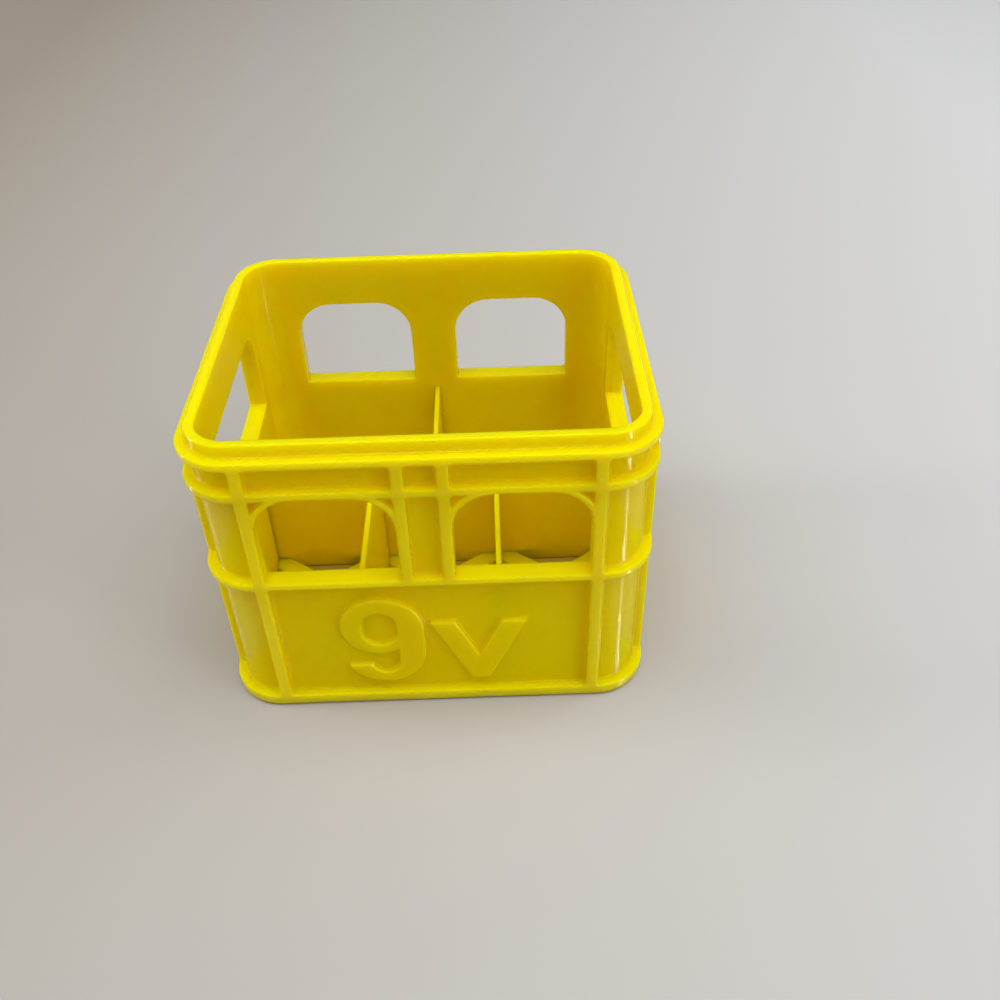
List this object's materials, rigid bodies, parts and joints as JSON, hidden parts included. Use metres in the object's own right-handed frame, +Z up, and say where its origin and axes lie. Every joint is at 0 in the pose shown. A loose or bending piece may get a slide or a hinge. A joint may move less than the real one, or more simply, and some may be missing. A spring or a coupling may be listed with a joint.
{
  "type": "battery storage crate",
  "caption": "Open stacking crate that stands block batteries upright in divided cells, with arched windows, upright ribs, a raised lip and a barred floor.",
  "frame": {"origin": "centre of the footprint, on the resting plane", "axes": "+X along the long marked front towards its right end, +Y towards the rear, +Z up"},
  "size_m": [0.0624, 0.0522, 0.048],
  "materials": {
    "yellow_plastic": "glossy yellow printed plastic with fine level layer lines"
  },
  "bodies": {
    "root": {"base_flange": "yellow_plastic", "floor_bars_rising": "yellow_plastic", "floor_bars_falling": "yellow_plastic", "front_lower_panel": "yellow_plastic", "rear_lower_panel": "yellow_plastic", "left_lower_panel": "yellow_plastic", "right_lower_panel": "yellow_plastic", "front_left_post": "yellow_plastic", "front_right_post": "yellow_plastic", "rear_left_post": "yellow_plastic", "rear_right_post": "yellow_plastic", "middle_band": "yellow_plastic", "front_window_wall": "yellow_plastic", "rear_window_wall": "yellow_plastic", "left_window_wall": "yellow_plastic", "right_window_wall": "yellow_plastic", "front_window_arches": "yellow_plastic", "rear_window_arches": "yellow_plastic", "left_window_arch": "yellow_plastic", "right_window_arch": "yellow_plastic", "upper_band": "yellow_plastic", "front_upper_panel": "yellow_plastic", "rear_upper_panel": "yellow_plastic", "left_upper_panel": "yellow_plastic", "right_upper_panel": "yellow_plastic", "rim_flange": "yellow_plastic", "stacking_lip": "yellow_plastic", "front_ribs": "yellow_plastic", "rear_ribs": "yellow_plastic", "left_ribs": "yellow_plastic", "right_ribs": "yellow_plastic", "cross_divider": "yellow_plastic", "rear_divider": "yellow_plastic", "front_divider_left": "yellow_plastic", "front_divider_right": "yellow_plastic", "mark_numeral": "yellow_plastic", "mark_letter": "yellow_plastic"}
  },
  "joints": []
}
